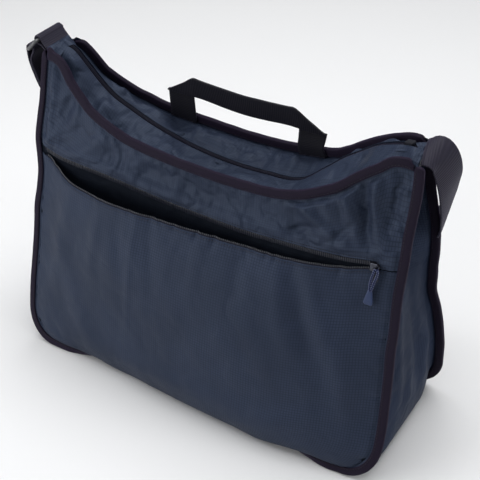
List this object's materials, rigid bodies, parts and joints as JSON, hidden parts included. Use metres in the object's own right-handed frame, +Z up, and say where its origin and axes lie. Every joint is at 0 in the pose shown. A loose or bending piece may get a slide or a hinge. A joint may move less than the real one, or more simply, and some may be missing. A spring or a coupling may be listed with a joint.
{
  "type": "shoulder bag",
  "caption": "Soft zipped shoulder bag in thin woven cloth with bound seams, an open front zip pocket, a webbing strap on a ring and a carry handle.",
  "frame": {"origin": "under the middle of the base, on the surface the bag stands on", "axes": "+X along the bag's width towards the strap's sewn end, -Y towards the front pocket, +Z up"},
  "size_m": [0.4531, 0.254, 0.3462],
  "materials": {
    "cloth": "thin plain-woven ripstop with a satin sheen",
    "binding": "folded edging tape, matt",
    "webbing": "close ribbed webbing, matt",
    "zip_tape": "woven zip tape, matt",
    "zip_teeth": "small moulded teeth",
    "ring": "moulded, satin",
    "slider": "grey metal, satin",
    "cord": "fine cord",
    "pull_tab": "moulded, satin"
  },
  "bodies": {
    "root": {"pocket_back_wall": "cloth", "upper_front": "cloth", "pocket_front": "cloth", "back_wall": "cloth", "gusset": "cloth", "front_side_binding": "binding", "back_side_binding": "binding", "front_rim_binding": "binding", "back_rim_binding": "binding", "top_cloth_front": "cloth", "top_cloth_back": "cloth", "top_zip_tape_front": "zip_tape", "top_zip_tape_back": "zip_tape", "top_zip_teeth": "zip_teeth", "front_zip_tape_upper": "zip_tape", "front_zip_tape_lower": "zip_tape", "front_zip_teeth_upper": "zip_teeth", "front_zip_teeth_lower": "zip_teeth", "front_zip_teeth_closed": "zip_teeth", "shoulder_strap": "webbing", "strap_tab": "webbing", "strap_ring": "ring", "carry_handle": "webbing", "front_zip_slider": "slider", "front_zip_pull": "slider", "pull_cord": "cord", "pull_tab": "pull_tab", "top_zip_slider": "slider"}
  },
  "joints": []
}
